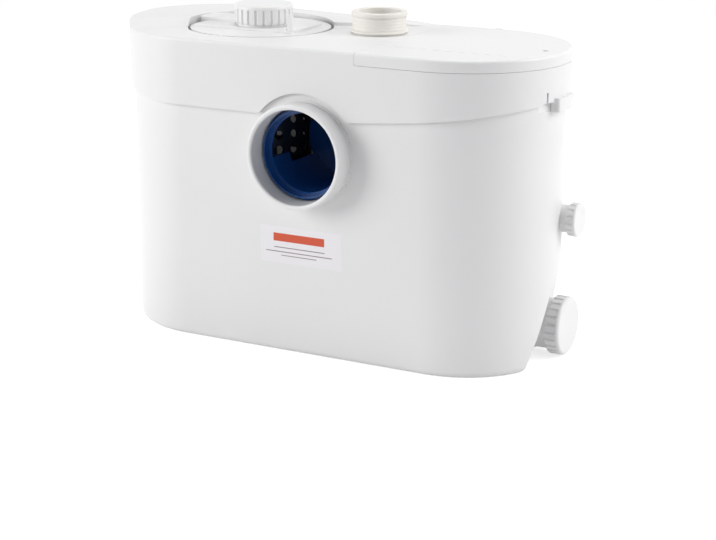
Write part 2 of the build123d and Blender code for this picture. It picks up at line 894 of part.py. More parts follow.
def diaphragm():
    """The soft disc over the air chamber."""
    low = head_level + head_height
    return rod(diaphragm_radius, low, low + diaphragm_thickness, plate_x)


def plunger_low():
    """The level of the plunger's foot."""
    return head_level + head_height + diaphragm_thickness + loose_gap


def level_plunger():
    """The plunger between the diaphragm and the switch, with a foot plate."""
    low = plunger_low()
    foot = rod(plunger_radius * 2, low, low + bridge_thickness, plate_x)
    return foot + rod(plunger_radius, low, low + plunger_length, plate_x)


def switch_bridge():
    """The bridge that guides the plunger and carries the switch."""
    base = head_level + head_height
    deck_low = plunger_low() + bridge_thickness + plunger_travel + loose_gap
    reach = guard_radius - guard_wall - loose_gap
    deck = span(plate_x - reach, plate_x + reach, -bridge_width / 2, bridge_width / 2,
                deck_low, deck_low + bridge_thickness)
    for side in (-1, 1):
        near = plate_x + side * (reach - bridge_leg)
        far = plate_x + side * reach
        deck += span(min(near, far), max(near, far), -bridge_width / 2, bridge_width / 2,
                     base, deck_low)
    deck &= rod(reach, base, deck_low + bridge_thickness, plate_x)
    return deck - rod(plunger_radius + bridge_gap, base, deck_low + 2 * bridge_thickness, plate_x)


def microswitch():
    """The switch that the plunger presses."""
    deck_top = plunger_low() + 2 * bridge_thickness + plunger_travel + loose_gap
    press = plunger_low() + plunger_length + plunger_travel + loose_gap
    body = span(plate_x - switch_length / 2, plate_x + switch_length / 2, -switch_width / 2,
                switch_width / 2, deck_top, deck_top + switch_height)
    room = rod(plunger_radius + loose_gap, deck_top - overrun, press, plate_x)
    return body - room


def motor_can():
    """The sealed can that hangs from the tray, with the lower bearing's hub."""
    can = rod(can_radius, can_low, tray_floor_level, motor_x)
    can += rod(can_flange, tray_floor_level - can_flange_thickness, tray_floor_level, motor_x)
    can -= rod(can_radius - can_wall, can_low + can_wall, tray_floor_level + overrun, motor_x)
    hub_top = lower_bearing_level + bearing_height
    can += rod(bearing_hub, can_low, hub_top, motor_x)
    can -= rod(bearing_radius, lower_bearing_level, hub_top + overrun, motor_x)
    return can - rod(shaft_radius + loose_gap, can_low - overrun, hub_top, motor_x)


def motor_bell():
    """The upper end bell, which carries the upper bearing."""
    outer = can_radius - can_wall
    low = upper_bearing_level - bell_thickness
    bell = rod(outer, low, upper_bearing_level, motor_x)
    bell += rod(bearing_hub, low, upper_bearing_level + bearing_height, motor_x)
    bell -= rod(bearing_radius, upper_bearing_level, upper_bearing_level + bearing_height + overrun,
                motor_x)
    return bell - rod(shaft_radius + loose_gap, low - overrun, upper_bearing_level + overrun, motor_x)


def stator():
    """The stator's laminated ring."""
    return ring(can_radius - can_wall, stator_bore, stator_low, stator_high, motor_x)


def rotor():
    """The rotor on the shaft."""
    return ring(rotor_radius, shaft_radius, stator_low + rotor_end_gap, stator_high - rotor_end_gap,
                motor_x)


def shaft():
    """The one shaft of motor, impeller and cutter."""
    return rod(shaft_radius, shaft_low, shaft_high, motor_x)


def bearing(level):
    """A bearing with a running fit on the shaft."""
    return ring(bearing_radius, shaft_radius + bearing_gap, level, level + bearing_height, motor_x)


def shaft_seal():
    """The seal between the wet volute and the motor."""
    return ring(seal_radius, shaft_radius + bearing_gap, can_low - seal_height, can_low, motor_x)


def pump_volute():
    """The pump housing with its suction eye, chamber and tangent outlet."""
    body = rod(volute_radius, volute_low, volute_high, motor_x)
    spout = rod_x(pipe_outer, motor_x - volute_radius, motor_x, pipe_level, outlet_y)
    chamber_low = volute_low + volute_floor
    body += spout
    body += ring(seal_radius + volute_floor, seal_radius, volute_high, can_low, motor_x)
    body -= rod(volute_bore, chamber_low, chamber_low + volute_chamber, motor_x)
    body -= rod(eye_radius, volute_low - overrun, chamber_low + overrun, motor_x)
    body -= rod_x(pipe_bore, motor_x - volute_radius - overrun, motor_x, pipe_level, outlet_y)
    return body - rod(shaft_radius + loose_gap, volute_low, can_low, motor_x)


def impeller():
    """The vortex impeller: a disc on a hub, with upright vanes."""
    low = impeller_level
    wheel = rod(impeller_radius, low, low + impeller_disc, motor_x)
    wheel += rod(impeller_hub, low, low + impeller_disc + impeller_vane_height, motor_x)
    vane = span(impeller_hub - overrun, impeller_radius - overrun, -impeller_vane_thickness / 2,
                impeller_vane_thickness / 2, low + impeller_disc,
                low + impeller_disc + impeller_vane_height)
    wheel += around(vane, impeller_vanes, motor_x)
    return wheel - rod(shaft_radius, low - overrun, low + impeller_disc + impeller_vane_height + overrun,
                       motor_x)


def cutter():
    """Four blades with bevelled edges on the shaft's lower end."""
    low = cutter_level
    edge = (cutter_thickness - cutter_edge) / 2
    profile = Plane.YZ * Polyline(
        (-cutter_width / 2, low),
        (cutter_width / 2, low + edge),
        (cutter_width / 2, low + edge + cutter_edge),
        (-cutter_width / 2 + cutter_thickness, low + cutter_thickness),
        close=True,
    )
    blade = extrude(make_face(profile), amount=cutter_reach)
    blade &= rod(cutter_reach, low, low + cutter_thickness)
    top = low + 2 * cutter_thickness
    blades = rod(impeller_hub, low, top, motor_x) + around(blade, cutter_arms, motor_x)
    return blades - rod(shaft_radius, low - overrun, top + overrun, motor_x)


def grinding_ring():
    """The slotted ring that stands round the blades."""
    wall = ring(ring_outer, ring_bore, tank_floor, volute_low, motor_x)
    slot = span(ring_bore - overrun, ring_outer + overrun, -ring_slot_width / 2, ring_slot_width / 2,
                ring_slot_low, ring_slot_low + ring_slot_height)
    return wall - around(slot, ring_slots, motor_x)


def capacitor():
    """The run capacitor, lying on the tray's floor."""
    level = tray_floor_level + tray_floor + capacitor_radius
    can = rod_y(capacitor_radius, -capacitor_length / 2, capacitor_length / 2, capacitor_x, level)
    return fillet(can.edges().group_by(Axis.Y)[0], capacitor_round)


def capacitor_clip():
    """The strap that holds the capacitor: an arch on two legs with feet."""
    floor = tray_floor_level + tray_floor
    level = floor + capacitor_radius
    outer = capacitor_radius + strap_thickness
    half = strap_width / 2
    strap = rod_y(outer, -half, half, capacitor_x, level)
    strap &= span(capacitor_x - outer, capacitor_x + outer, -half, half, level, level + outer)
    strap += span(capacitor_x - outer, capacitor_x + outer, -half, half, floor, level)
    strap += span(capacitor_x - outer - strap_foot, capacitor_x + outer + strap_foot, -half, half,
                  floor, floor + strap_thickness)
    strap -= rod_y(capacitor_radius, -strap_width, strap_width, capacitor_x, level)
    return strap - span(capacitor_x - capacitor_radius, capacitor_x + capacitor_radius, -strap_width,
                        strap_width, floor - overrun, level)


def terminal_block():
    """The terminal block, with one well for each wire."""
    floor = tray_floor_level + tray_floor
    block = span(motor_x - block_length / 2, motor_x + block_length / 2, block_y - block_width / 2,
                 block_y + block_width / 2, floor, floor + block_height)
    pitch = block_length / block_ways
    for way in range(block_ways):
        x = motor_x - block_length / 2 + (way + 1 / 2) * pitch
        block -= span(x - block_slot / 2, x + block_slot / 2, block_y - block_slot / 2,
                      block_y + block_slot / 2, floor + block_height - block_slot_depth, lid_top)
    return block


def gland_level():
    """The level of the cable gland's axis."""
    return cover_level + gland_rise


def cable_gland():
    """The cable inlet at the back, in the tray's wall: a body, a six-sided nut and a bore."""
    start = lid_face - tray_inner
    level = gland_level()
    body = rod_y(gland_radius, start, lid_face + gland_reach, motor_x, level)
    nut = Pos(motor_x, lid_face + loose_gap, level) * Rot(-90, 0, 0) * extrude(
        RegularPolygon(gland_nut, gland_nut_sides), amount=gland_nut_thickness)
    return body + nut - rod_y(gland_bore, start - overrun, lid_face + gland_reach + overrun,
                              motor_x, level)


lid_whole = lid_moulding()
plate_whole = plate_moulding()
pieces = {
    "tank": tank(),
    "base_pads": pads(),
    "lid_gasket": gasket(),
    "lid": lid(lid_whole),
    "recess_ring": recess_ring(lid_whole),
    "recess_base": recess_base(lid_whole),
    "dry_tray": dry_tray(lid_whole),
    "lid_clip_right": lid_clip(1, seam_right_level),
    "lid_clip_left": lid_clip(-1, seam_left_level),
    "access_plate": access_plate(plate_whole),
    "plate_spigot": plate_spigot(plate_whole),
    "access_plate_seal": plate_seal(),
    "top_cap": top_cap(),
    "top_cap_seal": top_cap_seal(),
    "low_cap": low_cap(),
    "low_cap_seal": low_cap_seal(),
    "small_cap": small_cap(),
    "small_cap_seal": small_cap_seal(),
    "service_cover": service_cover(),
    "discharge_sleeve": discharge_sleeve(),
    "valve_body": valve_body(),
    "valve_flap": valve_flap(),
    "discharge_pipe": discharge_pipe(),
    "inlet_scoop": inlet_scoop(),
    "switch_guard": switch_guard(),
    "level_head": level_head(),
    "dip_tube": dip_tube(),
    "diaphragm": diaphragm(),
    "level_plunger": level_plunger(),
    "switch_bridge": switch_bridge(),
    "microswitch": microswitch(),
    "motor_can": motor_can(),
    "motor_bell": motor_bell(),
    "stator": stator(),
    "rotor": rotor(),
    "motor_shaft": shaft(),
    "lower_bearing": bearing(lower_bearing_level),
    "upper_bearing": bearing(upper_bearing_level),
    "shaft_seal": shaft_seal(),
    "pump_volute": pump_volute(),
    "impeller": impeller(),
    "cutter_blades": cutter(),
    "grinding_ring": grinding_ring(),
    "capacitor": capacitor(),
    "capacitor_clip": capacitor_clip(),
    "terminal_block": terminal_block(),
    "cable_gland": cable_gland(),
}

os.makedirs("parts", exist_ok=True)
for name, shape in pieces.items():
    export_step(shape, f"parts/{name}.step")
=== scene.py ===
import math

import bmesh
import bpy
import numpy as np
from mathutils import Euler, Matrix, Vector


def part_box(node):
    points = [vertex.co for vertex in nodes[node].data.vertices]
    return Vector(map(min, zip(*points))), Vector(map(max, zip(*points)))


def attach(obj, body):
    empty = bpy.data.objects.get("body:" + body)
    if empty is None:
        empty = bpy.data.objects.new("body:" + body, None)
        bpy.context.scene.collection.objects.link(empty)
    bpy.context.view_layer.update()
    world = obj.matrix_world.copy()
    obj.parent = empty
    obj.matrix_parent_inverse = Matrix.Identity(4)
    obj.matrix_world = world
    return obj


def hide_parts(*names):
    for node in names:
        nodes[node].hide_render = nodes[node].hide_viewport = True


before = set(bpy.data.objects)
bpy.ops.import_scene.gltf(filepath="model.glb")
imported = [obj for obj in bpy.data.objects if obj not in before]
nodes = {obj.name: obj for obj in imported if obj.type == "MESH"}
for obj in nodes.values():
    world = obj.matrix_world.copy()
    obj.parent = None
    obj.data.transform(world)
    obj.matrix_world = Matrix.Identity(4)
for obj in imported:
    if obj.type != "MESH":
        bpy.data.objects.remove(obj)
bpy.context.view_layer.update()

# Camera and studio. The camera stands right of the pump's front and a little above it. Wide soft lamps at
# both ends of the body leave its front right corner the darkest stripe. Floor and backdrop are white, and a
# faint lamp inside the tank stands for the daylight that its milky walls let through.
scene = bpy.context.scene
camera_place = (0.80878, -1.51397, 0.55736)
camera_turn = 0.4822
camera_fall = 0.28149
camera_roll = 0.0039
focal_pixels = 1774.8
picture_width = 716
sensor_width = 36.0

camera = bpy.data.objects.new("camera", bpy.data.cameras.new("camera"))
camera.data.sensor_width = sensor_width
camera.data.lens = focal_pixels / picture_width * sensor_width
camera.data.clip_end = 20
level_aim = Euler((math.pi / 2 - camera_fall, 0, camera_turn)).to_matrix()
aim = level_aim @ Matrix.Rotation(camera_roll, 3, "Z")
camera.matrix_world = Matrix.Translation(camera_place) @ aim.to_4x4()
scene.collection.objects.link(camera)
scene.camera = camera
scene.view_settings.view_transform = "Standard"

# Each lamp: name, place, point it faces, width, height, power in watts.
for lamp_name, place, target, width, height, power in (
    ("left_lamp", (-1.9, -1.72, 0.95), (-0.1, 0, 0.15), 1.4, 1.5, 41.5),
    ("right_lamp", (1.7, 0.42, 1.0), (0.15, 0, 0.15), 1.1, 1.1, 20),
    ("top_lamp", (0.1, 0.3, 2.2), (0, 0, 0.3), 1.4, 1.2, 16),
    ("inner_lamp", (-0.165, 0.052, 0.258), (-0.165, 0.09, 0.18), 0.02, 0.02, 0.009),
):
    lamp = bpy.data.objects.new(lamp_name, bpy.data.lights.new(lamp_name, "AREA"))
    lamp.data.shape = "RECTANGLE"
    lamp.data.size = width
    lamp.data.size_y = height
    lamp.data.energy = power
    lamp.location = place
    facing = Vector(target) - lamp.location
    lamp.rotation_euler = facing.to_track_quat("-Z", "Y").to_euler()
    scene.collection.objects.link(lamp)


def shows_background(tree):
    """One for a ray that comes straight from the camera, off a glossy surface or through glass, and zero for
    the light that falls on the object. It is the largest of Light Path's three answers."""
    path = tree.nodes.new("ShaderNodeLightPath")
    answer = path.outputs["Is Camera Ray"]
    for kind in ("Is Glossy Ray", "Is Transmission Ray"):
        larger = tree.nodes.new("ShaderNodeMath")
        larger.operation = "MAXIMUM"
        tree.links.new(answer, larger.inputs[0])
        tree.links.new(path.outputs[kind], larger.inputs[1])
        answer = larger.outputs[0]
    return answer


world = bpy.data.worlds.new("studio")
scene.world = world
world.use_nodes = True
sky = world.node_tree
room_light = sky.nodes["Background"]
room_light.inputs["Color"].default_value = (0.95, 0.95, 0.99, 1)
room_light.inputs["Strength"].default_value = 0.35
backdrop = sky.nodes.new("ShaderNodeBackground")
backdrop.inputs["Color"].default_value = (1, 1, 1, 1)
backdrop.inputs["Strength"].default_value = 1.0
either = sky.nodes.new("ShaderNodeMixShader")
sky.links.new(shows_background(sky), either.inputs["Fac"])
sky.links.new(room_light.outputs[0], either.inputs[1])
sky.links.new(backdrop.outputs[0], either.inputs[2])
sky.links.new(either.outputs[0], sky.nodes["World Output"].inputs["Surface"])

floor_reach = 2.4
floor_corners = 96
floor_lift = 0.66
floor_turns = np.linspace(0, 2 * np.pi, floor_corners, endpoint=False)
floor_rim = floor_reach * np.stack([np.cos(floor_turns), np.sin(floor_turns), 0 * floor_turns], -1)
floor_mesh = bpy.data.meshes.new("floor")
floor_mesh.from_pydata(floor_rim.tolist(), [], [list(range(len(floor_rim)))])
floor_paint = bpy.data.materials.new("floor_paint")
floor_paint.use_nodes = True
floor_tree = floor_paint.node_tree
paint = floor_tree.nodes["Principled BSDF"]
paint.inputs["Base Color"].default_value = (0.77, 0.77, 0.775, 1)
paint.inputs["Roughness"].default_value = 0.9
paint.inputs["Emission Color"].default_value = (1, 1, 1, 1)
lift = floor_tree.nodes.new("ShaderNodeMath")
lift.operation = "MULTIPLY"
lift.inputs[1].default_value = floor_lift
floor_tree.links.new(shows_background(floor_tree), lift.inputs[0])
floor_tree.links.new(lift.outputs[0], paint.inputs["Emission Strength"])
floor_mesh.materials.append(floor_paint)
floor = bpy.data.objects.new("floor", floor_mesh)
scene.collection.objects.link(floor)


# Moulded white plastic. The tank, lid, clips, plate, caps and cover are injection moulded in gloss white,
# with a very fine orange peel and the faint cloudiness of a thick wall.
def grain_group():
    """Node group: a colour and a roughness that vary a little in soft clouds, and a fine height. Colour and
    roughness are each the given value times 1 + share * (noise - 0.5)."""
    group = bpy.data.node_groups.new("moulded_surface", "ShaderNodeTree")
    for socket, kind, value in (
        ("Colour", "NodeSocketColor", (0.8, 0.8, 0.8, 1)),
        ("Colour share", "NodeSocketFloat", 0.04),
        ("Roughness", "NodeSocketFloat", 0.4),
        ("Roughness share", "NodeSocketFloat", 0.2),
        ("Cloud scale", "NodeSocketFloat", 9.0),
        ("Grain scale", "NodeSocketFloat", 900.0),
    ):
        group.interface.new_socket(socket, in_out="INPUT", socket_type=kind).default_value = value
    group.interface.new_socket("Colour", in_out="OUTPUT", socket_type="NodeSocketColor")
    group.interface.new_socket("Roughness", in_out="OUTPUT", socket_type="NodeSocketFloat")
    group.interface.new_socket("Height", in_out="OUTPUT", socket_type="NodeSocketFloat")
    new, link = group.nodes.new, group.links.new
    given, made = new("NodeGroupInput"), new("NodeGroupOutput")
    place = new("ShaderNodeTexCoord")
    cloud, fine = new("ShaderNodeTexNoise"), new("ShaderNodeTexNoise")
    for field, scale in ((cloud, "Cloud scale"), (fine, "Grain scale")):
        link(place.outputs["Object"], field.inputs["Vector"])
        link(given.outputs[scale], field.inputs["Scale"])
    cloud.inputs["Detail"].default_value = 3.0
    fine.inputs["Detail"].default_value = 2.0

    def swing(share):
        """One plus the share times the cloud's distance from its middle."""
        centred, scaled, whole = new("ShaderNodeMath"), new("ShaderNodeMath"), new("ShaderNodeMath")
        centred.operation, scaled.operation, whole.operation = "SUBTRACT", "MULTIPLY", "ADD"
        centred.inputs[1].default_value = 0.5
        whole.inputs[1].default_value = 1.0
        link(cloud.outputs["Fac"], centred.inputs[0])
        link(centred.outputs[0], scaled.inputs[0])
        link(given.outputs[share], scaled.inputs[1])
        link(scaled.outputs[0], whole.inputs[0])
        return whole.outputs[0]

    tint, rough = new("ShaderNodeVectorMath"), new("ShaderNodeMath")
    tint.operation, rough.operation = "SCALE", "MULTIPLY"
    link(given.outputs["Colour"], tint.inputs[0])
    link(swing("Colour share"), tint.inputs["Scale"])
    link(given.outputs["Roughness"], rough.inputs[0])
    link(swing("Roughness share"), rough.inputs[1])
    link(tint.outputs[0], made.inputs["Colour"])
    link(rough.outputs[0], made.inputs["Roughness"])
    link(fine.outputs["Fac"], made.inputs["Height"])
    return group


moulded_surface = grain_group()


def surfaced(name, group, values, depth, metallic):
    """A material with one shader, which takes its colour, roughness and height from a surface group that has
    these values. The height feeds a bump of the given depth in metres."""
    material = bpy.data.materials.new(name)
    material.use_nodes = True
    tree = material.node_tree
    shader = tree.nodes["Principled BSDF"]
    surface = tree.nodes.new("ShaderNodeGroup")
    surface.node_tree = group
    for socket, value in values.items():
        surface.inputs[socket].default_value = value
    bump = tree.nodes.new("ShaderNodeBump")
    bump.inputs["Distance"].default_value = depth
    bump.inputs["Strength"].default_value = 1.0
    tree.links.new(surface.outputs["Colour"], shader.inputs["Base Color"])
    tree.links.new(surface.outputs["Roughness"], shader.inputs["Roughness"])
    tree.links.new(surface.outputs["Height"], bump.inputs["Height"])
    tree.links.new(bump.outputs["Normal"], shader.inputs["Normal"])
    shader.inputs["Metallic"].default_value = metallic
    return material


def finish(name, colour, roughness, colour_share=0.04, roughness_share=0.25, cloud_scale=9.0,
           grain_scale=900.0, grain_depth=0.00002, metallic=0.0, specular=0.5):
    """A moulded, cast or plated finish, from the moulded_surface group."""
    values = {"Colour": (*colour, 1), "Colour share": colour_share, "Roughness": roughness,
              "Roughness share": roughness_share, "Cloud scale": cloud_scale, "Grain scale": grain_scale}
    material = surfaced(name, moulded_surface, values, grain_depth, metallic)
    material.node_tree.nodes["Principled BSDF"].inputs["Specular IOR Level"].default_value = specular
    return material


def dress(material, *names):
    """The named CAD nodes keep their shape and take this finish."""
    for name in names:
        nodes[name].data.materials.clear()
        nodes[name].data.materials.append(material)


white_plastic = finish("white_plastic", (0.80, 0.80, 0.795), 0.38)
dress(white_plastic, "tank", "lid", "recess_ring", "recess_base", "dry_tray", "lid_clip_right",
      "lid_clip_left", "access_plate", "plate_spigot", "service_cover")

# Seals, gasket, flap and base pads. Moulded black rubber: dull, a little dusty, with a grain that shows only
# close up. The pads are pressed into sockets in the base, and the seals lie loose under what clamps them.
black_rubber = finish("black_rubber", (0.022, 0.022, 0.024), 0.62, colour_share=0.35, cloud_scale=45.0,
                      grain_scale=2600.0, grain_depth=0.00004)
dress(black_rubber, "base_pads", "lid_gasket", "access_plate_seal", "top_cap_seal", "low_cap_seal",
      "small_cap_seal", "valve_flap", "diaphragm", "shaft_seal")

# Fluted screw caps, one on the plate's spigot and two on the side necks. Each is moulded in the same white
# plastic, with a dished top, a plain band, upright flutes for grip and a thread inside. The neck that it
# screws on to has a thread outside.
flute_half = 0.0015
flute_depth = 0.0015
flute_columns = 18
cap_sizes = {
    "top_cap": dict(outer=0.0290, tall=0.0184, bore=0.0226, roof=0.0037, flutes=24, plain=0.0044,
                    round_edge=0.0030, dish=0.0006),
    "low_cap": dict(outer=0.0286, tall=0.0145, bore=0.0251, roof=0.0036, flutes=24, plain=0.0036,
                    round_edge=0.0030, dish=0.0005),
    "small_cap": dict(outer=0.0163, tall=0.0093, bore=0.0141, roof=0.0028, flutes=16, plain=0.0024,
                      round_edge=0.0016, dish=0.0003),
}
thread_rise = 0.00045
thread_start = 0.0014
thread_gap = 0.0006
neck_margin = 0.0012


def closed_mesh(name, points, loops=False, merge=1e-7, crease=35):
    """A mesh from rows of points. Each row closes on itself. The first and last rows are filled, or where
    loops is true the last row joins the first. Rows that shrink to a point are merged into a pole, and edges
    sharper than the crease, in degrees, stay sharp."""
    rows, columns = points.shape[:2]
    index = np.arange(rows * columns).reshape(rows, columns)
    near, far = (index, np.roll(index, -1, 0)) if loops else (index[:-1], index[1:])
    quads = np.stack([near, np.roll(near, -1, 1), np.roll(far, -1, 1), far], -1).reshape(-1, 4).tolist()
    ends = [] if loops else [index[0][::-1].tolist(), index[-1].tolist()]
    mesh = bpy.data.meshes.new(name)
    mesh.from_pydata(points.reshape(-1, 3).tolist(), [], quads + ends)
    shape = bmesh.new()
    shape.from_mesh(mesh)
    bmesh.ops.remove_doubles(shape, verts=shape.verts, dist=merge)
    bmesh.ops.dissolve_degenerate(shape, edges=shape.edges, dist=merge)
    bmesh.ops.recalc_face_normals(shape, faces=shape.faces)
    shape.to_mesh(mesh)
    shape.free()
    mesh.shade_smooth()
    mesh.set_sharp_from_angle(angle=math.radians(crease))
    return mesh


def add_piece(name, points, material, body, slot, *stands_for, loops=False):
    """Puts a closed mesh of the points into the scene with its material and its body, and hides the CAD nodes
    that it stands for. The slot is not used."""
    mesh = closed_mesh(name, points, loops)
    mesh.materials.append(material)
    piece = bpy.data.objects.new(name, mesh)
    scene.collection.objects.link(piece)
    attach(piece, body)
    if stands_for:
        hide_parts(*stands_for)


def bend(radius, height, size, start, stop, count):
    """Points (radius, height) on an arc about a centre, from one angle to another, in degrees."""
    turn = np.radians(np.linspace(start, stop, count))
    return np.stack([radius + size * np.cos(turn), height + size * np.sin(turn)], -1)


def lathe(profile, columns=160):
    """A profile of (radius, height) rows turned about the upright axis."""
    turn = np.linspace(0, 2 * np.pi, columns, endpoint=False)
    radius, height = profile[:, :1], profile[:, 1:]
    return np.stack([radius * np.cos(turn), radius * np.sin(turn), height + 0 * turn], -1)


def cap_profile(outer, tall, bore, roof, plain, round_edge, dish, bevel=0.0006, lip=0.0004, corner=0.0008):
    """Half a section of a cap that stands on its rim. The top sinks by dish * (1 - (r / edge) squared)
    squared towards its middle. Then come a round edge, a wall whose rows lie closest where the flutes end,
    and a bevelled foot. The inside is a plain bore under a flat roof."""
    top_radius = np.linspace(0, outer - round_edge, 9)
    top_height = tall - dish * (1 - (top_radius / (outer - round_edge)) ** 2) ** 2
    flute_top = tall - plain
    flute_end = flute_top - flute_half
    heights = np.concatenate([
        np.linspace(tall - round_edge, flute_top, 3)[1:],
        flute_top - flute_half * (1 - np.cos(np.linspace(0, np.pi / 2, 7)))[1:],
        np.linspace(flute_end, bevel, 7)[1:]])
    ceiling = tall - roof
    return np.concatenate([
        np.stack([top_radius, top_height], -1),
        bend(outer - round_edge, tall - round_edge, round_edge, 90, 0, 9)[1:],
        np.stack([0 * heights + outer, heights], -1),
        [[outer - lip, 0.0], [bore + bevel, 0.0], [bore, bevel]],
        [[bore, ceiling - corner], [bore - corner, ceiling], [bore / 2, ceiling], [0.0, ceiling]]])


def fluted_cap(outer, tall, bore, roof, flutes, plain, round_edge, dish, band=0.0005):
    """A cap's profile turned round, with its wall cut by flutes. A flute's depth at a distance d from its
    middle is its full depth times sqrt(1 - (d / half width) squared), and near its top the half width
    shrinks as a circle does. Only rows within the band of the outer radius are cut."""
    profile = cap_profile(outer, tall, bore, roof, plain, round_edge, dish)
    columns = flutes * flute_columns
    points = lathe(profile, columns)
    turn = np.linspace(0, 2 * np.pi, columns, endpoint=False)
    pitch = 2 * np.pi / flutes
    away = outer * np.abs((turn + pitch / 2) % pitch - pitch / 2)
    flute_top = tall - plain
    below = np.clip((flute_top - profile[:, 1]) / flute_half, 0, 1)
    half = flute_half * np.sqrt(1 - (1 - below) ** 2)
    share = away[None, :] / np.maximum(half, 1e-9)[:, None]
    on_wall = (profile[:, 0] > outer - band) & (profile[:, 1] < flute_top)
    cut = flute_depth * np.sqrt(np.clip(1 - share ** 2, 0, 1)) * on_wall[:, None]
    radius = np.hypot(points[..., 0], points[..., 1])
    scale = np.where(radius > 0, (radius - cut) / np.maximum(radius, 1e-9), 1)
    points[..., :2] *= scale[..., None]
    return points


def ridge(radius, pitch, low, high, rise, start=0.0, width_share=0.36, foot=0.0003, run_out=0.5,
          least_fade=0.03, turn_rows=64):
    """A right-handed thread ridge. It climbs by one pitch a turn, z = low + pitch * turn / (2 pi), from a
    start given in turns. Its section is a rounded trapezium as wide as a share of the pitch, and it fades
    out over the run-out, in radians, at both ends. A negative rise points inwards."""
    turns = (high - low) / pitch
    along = np.linspace(0, 2 * np.pi * turns, int(turn_rows * turns) + 2)
    fade = np.clip(np.minimum(along, along[-1] - along) / run_out, least_fade, 1)
    side = math.copysign(1, rise)
    width = pitch * width_share
    across = np.array([-0.5, -0.5, -0.28, -0.1, 0.1, 0.28, 0.5, 0.5]) * width
    out = np.array([-foot * side, 0, 0.85 * rise, rise, rise, 0.85 * rise, 0, -foot * side])
    reach = radius + np.where(out * side > 0, out * fade[:, None], out)
    spin = along[:, None] + 2 * np.pi * start
    height = low + pitch * along[:, None] / (2 * np.pi) + across
    return np.stack([reach * np.cos(spin), reach * np.sin(spin), height], -1)


def upright(points, x, y, z):
    """Points of a piece that stands on end, moved to its place."""
    return points + np.array([x, y, z])


def lying(points, x, y, z):
    """Points of a piece that lies along X: its own x, y and z become Y, Z and X, and it keeps its hand."""
    return np.roll(points, 1, -1) + np.array([x, y, z])


# Each cap: name, how it stands, body it turns with, body of its neck, thread pitch, length of thread.
for name, place, body, holder, pitch, thread_length in (
    ("top_cap", upright, "top_screw_cap", "plate", 0.005, 0.0127),
    ("low_cap", lying, "low_screw_cap", "housing", 0.004, 0.0085),
    ("small_cap", lying, "small_screw_cap", "housing", 0.002, 0.0047),
):
    low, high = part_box(name)
    middle = (low + high) / 2
    seat = (middle.x, middle.y, low.z) if place is upright else (low.x, middle.y, middle.z)
    shell = fluted_cap(**cap_sizes[name])
    bore = cap_sizes[name]["bore"]
    inner = ridge(bore, pitch, thread_start, thread_length - thread_start, -thread_rise, start=0.5)
    outer = ridge(bore - thread_gap, pitch, thread_start, thread_length - neck_margin, thread_rise)
    add_piece(f"fluted_{name}", place(shell, *seat), white_plastic, body, "white_plastic", name)
    add_piece(f"{name}_thread", place(inner, *seat), white_plastic, body, "white_plastic")
    add_piece(f"{name}_neck_thread", place(outer, *seat), white_plastic, holder, "white_plastic")

# Screws. Pan heads of zinc-plated steel with a cross recess: one holds the service cover, one the round
# plate's catch, four the motor's flange, two the capacitor's strap, and four clamp the wires.
zinc_steel = finish("zinc_steel", (0.55, 0.56, 0.58), 0.32, colour_share=0.10, roughness_share=0.5,
                    cloud_scale=60.0, grain_scale=3000.0, grain_depth=0.00001, metallic=1.0)
cover_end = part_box("service_cover")[1].x
lid_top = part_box("service_cover")[1].z
tray_floor = 0.265
motor_x = 0.118
flange_radius = 0.056
strap_low, strap_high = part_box("capacitor_clip")
strap_x = (strap_low.x + strap_high.x) / 2
strap_foot = 0.018
strap_thickness = 0.0015
wire_row = 0.052
wire_pitch = 0.010
wire_height = 0.009


def screw_head(radius, rise, x, y, z, turned, dome=0.35, arm_half=0.15, arm_end=0.66, side_slope=0.05,
               end_slope=0.08, recess=0.75):
    """A pan head on a polar grid, in shares of its radius and rise. Its top is a shallow dome, rise *
    (1 - dome * r squared), and two outer rows round its edge. The cross is sunk where the distance to
    either arm's middle line is under half the arm's width and r is under the arm's end, and its sides
    and ends slope."""
    steps = np.concatenate([np.linspace(0, 0.94, 28), [0.98, 1.0]])[:, None]
    turn = np.linspace(0, 2 * np.pi, 96, endpoint=False)
    arm = np.minimum(np.abs(steps * np.cos(turn - turned)), np.abs(steps * np.sin(turn - turned)))
    sunk = np.clip((arm_half - arm) / side_slope, 0, 1) * np.clip((arm_end - steps) / end_slope, 0, 1)
    height = rise * (1 - dome * steps ** 2 - recess * sunk)
    height[-2:] = rise * np.array([[0.55], [0.35]])
    top = np.stack([radius * steps * np.cos(turn), radius * steps * np.sin(turn), height], -1)
    foot = top[-1:] * np.array([1, 1, 0])
    return np.concatenate([top, foot, foot * 0]) + np.array([x, y, z])


# Each head: name, radius, rise, x, y and z of its foot, and the body that it rides on.
heads = [
    ("cover_screw", 0.0030, 0.0013, cover_end - 0.0175, -0.006, lid_top - 0.0016, "cover"),
    ("plate_screw", 0.0026, 0.0009, -0.052, -0.022, lid_top + 0.0025, "plate"),
]
for number in range(4):
    turn = math.radians(45 + 90 * number)
    x = motor_x + flange_radius * math.cos(turn)
    y = flange_radius * math.sin(turn)
    heads.append((f"flange_screw_{number}", 0.0036, 0.0022, x, y, tray_floor, "housing"))
for side, offset in (("left", -strap_foot), ("right", strap_foot)):
    z = tray_floor + strap_thickness
    heads.append((f"strap_screw_{side}", 0.0026, 0.0018, strap_x + offset, 0.0, z, "housing"))
for way in range(4):
    x = motor_x + wire_pitch * (way - 1.5)
    z = tray_floor + wire_height
    heads.append((f"wire_screw_{way}", 0.0021, 0.0012, x, wire_row, z, "housing"))

# The crosses stand as the screwdriver left them: each is turned 0.7 radians further than the last.
for number, (name, radius, rise, x, y, z, body) in enumerate(heads):
    head = screw_head(radius, rise, x, y, z, turned=0.4 + 0.7 * number)
    add_piece(name, head, zinc_steel, body, "steel")

